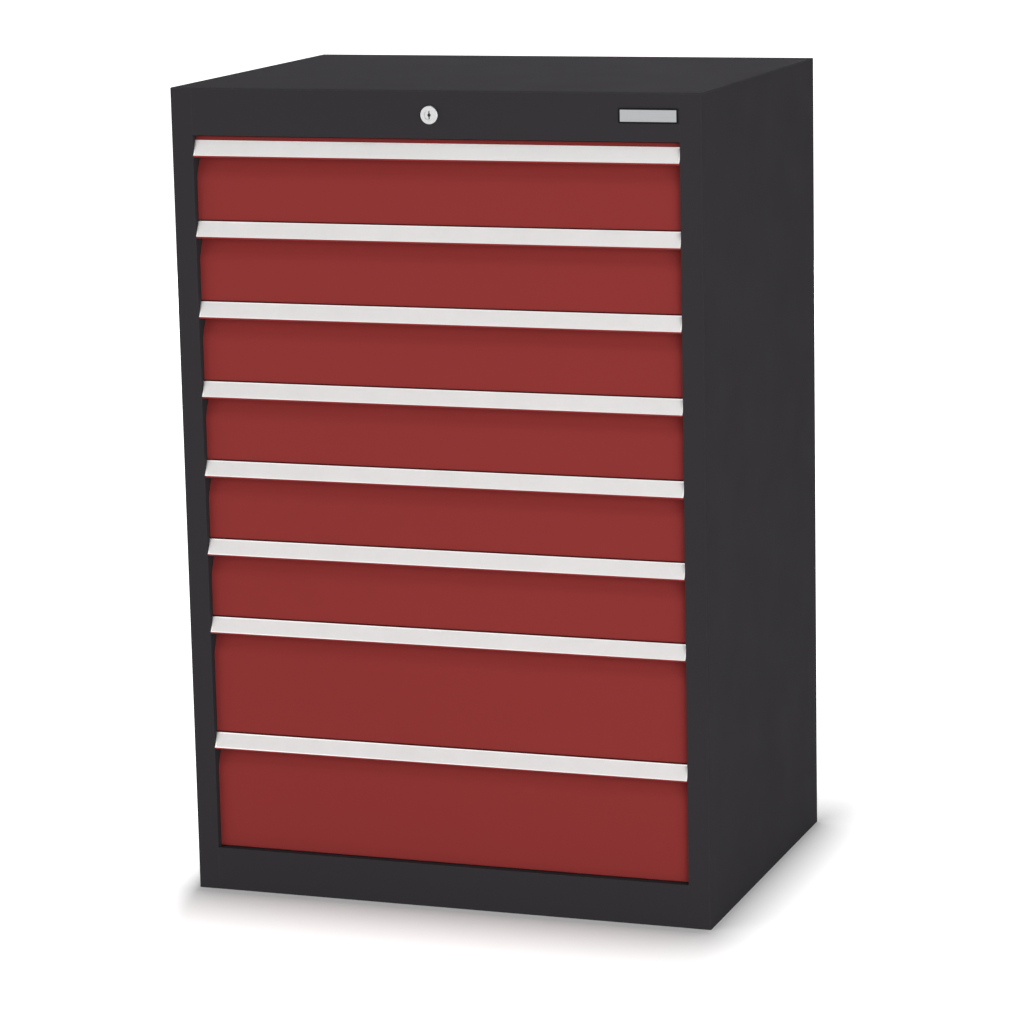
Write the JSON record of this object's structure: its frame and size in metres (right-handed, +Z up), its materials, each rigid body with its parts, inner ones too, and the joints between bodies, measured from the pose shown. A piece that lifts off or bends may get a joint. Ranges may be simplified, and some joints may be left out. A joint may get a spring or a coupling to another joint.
{
  "type": "drawer cabinet",
  "caption": "Free-standing steel drawer cabinet: grey folded body, red drawer fronts with sloped metal grip strips over finger gaps, and a round key lock in the top rail.",
  "frame": {"origin": "on the floor, under the middle of the box that holds the whole cabinet", "axes": "+Z up, +X to the right as seen from the front, the drawers open towards -Y"},
  "size_m": [0.68, 0.504, 1.019],
  "materials": {
    "body_paint": "satin dark grey powder coat",
    "front_paint": "satin red powder coat",
    "tray_paint": "satin dark grey powder coat",
    "grip_aluminium": "satin anodised",
    "badge_metal": "brushed",
    "lock_metal": "satin nickel",
    "zinc_steel": "zinc plated"
  },
  "bodies": {
    "cabinet": {"left_side_panel": "body_paint", "right_side_panel": "body_paint", "top_panel": "body_paint", "back_panel": "body_paint", "back_screws": "zinc_steel", "floor_panel": "body_paint", "base_skids": "body_paint", "plinth_rail": "body_paint", "top_front_rail": "body_paint", "badge_plate": "badge_metal", "lock_housing": "lock_metal", "lock_nut": "zinc_steel", "uprights": "body_paint", "cabinet_rails": "zinc_steel"},
    "lock_barrel": {"lock_barrel": "lock_metal", "lock_cam": "zinc_steel"},
    "lock_rod": {"lock_rod": "zinc_steel"},
    "lock_bar": {"lock_bar": "zinc_steel", "lock_catches": "zinc_steel", "lock_lug": "zinc_steel"},
    "drawer_1": {"drawer_1_front": "front_paint", "drawer_1_grip": "grip_aluminium", "drawer_1_tray": "tray_paint", "drawer_1_rails": "zinc_steel"},
    "drawer_1_sliders": {"drawer_1_sliders": "zinc_steel"},
    "drawer_2": {"drawer_2_front": "front_paint", "drawer_2_grip": "grip_aluminium", "drawer_2_tray": "tray_paint", "drawer_2_rails": "zinc_steel"},
    "drawer_2_sliders": {"drawer_2_sliders": "zinc_steel"},
    "drawer_3": {"drawer_3_front": "front_paint", "drawer_3_grip": "grip_aluminium", "drawer_3_tray": "tray_paint", "drawer_3_rails": "zinc_steel"},
    "drawer_3_sliders": {"drawer_3_sliders": "zinc_steel"},
    "drawer_4": {"drawer_4_front": "front_paint", "drawer_4_grip": "grip_aluminium", "drawer_4_tray": "tray_paint", "drawer_4_rails": "zinc_steel"},
    "drawer_4_sliders": {"drawer_4_sliders": "zinc_steel"},
    "drawer_5": {"drawer_5_front": "front_paint", "drawer_5_grip": "grip_aluminium", "drawer_5_tray": "tray_paint", "drawer_5_rails": "zinc_steel"},
    "drawer_5_sliders": {"drawer_5_sliders": "zinc_steel"},
    "drawer_6": {"drawer_6_front": "front_paint", "drawer_6_grip": "grip_aluminium", "drawer_6_tray": "tray_paint", "drawer_6_rails": "zinc_steel"},
    "drawer_6_sliders": {"drawer_6_sliders": "zinc_steel"},
    "drawer_7": {"drawer_7_front": "front_paint", "drawer_7_grip": "grip_aluminium", "drawer_7_tray": "tray_paint", "drawer_7_rails": "zinc_steel"},
    "drawer_7_sliders": {"drawer_7_sliders": "zinc_steel"},
    "drawer_8": {"drawer_8_front": "front_paint", "drawer_8_grip": "grip_aluminium", "drawer_8_tray": "tray_paint", "drawer_8_rails": "zinc_steel"},
    "drawer_8_sliders": {"drawer_8_sliders": "zinc_steel"}
  },
  "joints": [
    {"name": "drawer_1_slide", "type": "slide", "parent": "cabinet", "child": "drawer_1", "axis": [0, -1, 0], "range_m": [0, 0.4]},
    {"name": "drawer_1_slider_slide", "type": "slide", "parent": "cabinet", "child": "drawer_1_sliders", "axis": [0, -1, 0], "range_m": [0, 0.2]},
    {"name": "drawer_2_slide", "type": "slide", "parent": "cabinet", "child": "drawer_2", "axis": [0, -1, 0], "range_m": [0, 0.4]},
    {"name": "drawer_2_slider_slide", "type": "slide", "parent": "cabinet", "child": "drawer_2_sliders", "axis": [0, -1, 0], "range_m": [0, 0.2]},
    {"name": "drawer_3_slide", "type": "slide", "parent": "cabinet", "child": "drawer_3", "axis": [0, -1, 0], "range_m": [0, 0.4]},
    {"name": "drawer_3_slider_slide", "type": "slide", "parent": "cabinet", "child": "drawer_3_sliders", "axis": [0, -1, 0], "range_m": [0, 0.2]},
    {"name": "drawer_4_slide", "type": "slide", "parent": "cabinet", "child": "drawer_4", "axis": [0, -1, 0], "range_m": [0, 0.4]},
    {"name": "drawer_4_slider_slide", "type": "slide", "parent": "cabinet", "child": "drawer_4_sliders", "axis": [0, -1, 0], "range_m": [0, 0.2]},
    {"name": "drawer_5_slide", "type": "slide", "parent": "cabinet", "child": "drawer_5", "axis": [0, -1, 0], "range_m": [0, 0.4]},
    {"name": "drawer_5_slider_slide", "type": "slide", "parent": "cabinet", "child": "drawer_5_sliders", "axis": [0, -1, 0], "range_m": [0, 0.2]},
    {"name": "drawer_6_slide", "type": "slide", "parent": "cabinet", "child": "drawer_6", "axis": [0, -1, 0], "range_m": [0, 0.4]},
    {"name": "drawer_6_slider_slide", "type": "slide", "parent": "cabinet", "child": "drawer_6_sliders", "axis": [0, -1, 0], "range_m": [0, 0.2]},
    {"name": "drawer_7_slide", "type": "slide", "parent": "cabinet", "child": "drawer_7", "axis": [0, -1, 0], "range_m": [0, 0.4]},
    {"name": "drawer_7_slider_slide", "type": "slide", "parent": "cabinet", "child": "drawer_7_sliders", "axis": [0, -1, 0], "range_m": [0, 0.2]},
    {"name": "drawer_8_slide", "type": "slide", "parent": "cabinet", "child": "drawer_8", "axis": [0, -1, 0], "range_m": [0, 0.4]},
    {"name": "drawer_8_slider_slide", "type": "slide", "parent": "cabinet", "child": "drawer_8_sliders", "axis": [0, -1, 0], "range_m": [0, 0.2]},
    {"name": "lock_bar_lift", "type": "slide", "parent": "cabinet", "child": "lock_bar", "axis": [0, 0, 1], "range_m": [0, 0.0113]},
    {"name": "lock_rod_slide", "type": "slide", "parent": "cabinet", "child": "lock_rod", "axis": [-1, 0, 0], "range_m": [0, 0.0114]},
    {"name": "lock_turn", "type": "hinge", "parent": "cabinet", "child": "lock_barrel", "pos_m": [0, -0.235, 0.9895], "axis": [0, -1, 0], "range_deg": [0, 90.5]}
  ],
  "couplings": [
    {"joint": "drawer_1_slider_slide", "follows": "drawer_1_slide", "ratio": 0.5},
    {"joint": "drawer_2_slider_slide", "follows": "drawer_2_slide", "ratio": 0.5},
    {"joint": "drawer_3_slider_slide", "follows": "drawer_3_slide", "ratio": 0.5},
    {"joint": "drawer_4_slider_slide", "follows": "drawer_4_slide", "ratio": 0.5},
    {"joint": "drawer_5_slider_slide", "follows": "drawer_5_slide", "ratio": 0.5},
    {"joint": "drawer_6_slider_slide", "follows": "drawer_6_slide", "ratio": 0.5},
    {"joint": "drawer_7_slider_slide", "follows": "drawer_7_slide", "ratio": 0.5},
    {"joint": "drawer_8_slider_slide", "follows": "drawer_8_slide", "ratio": 0.5},
    {"joint": "lock_rod_slide", "follows": "lock_bar_lift", "ratio": 1},
    {"joint": "lock_turn", "follows": "lock_bar_lift", "rad_per_m": 138.84}
  ]
}
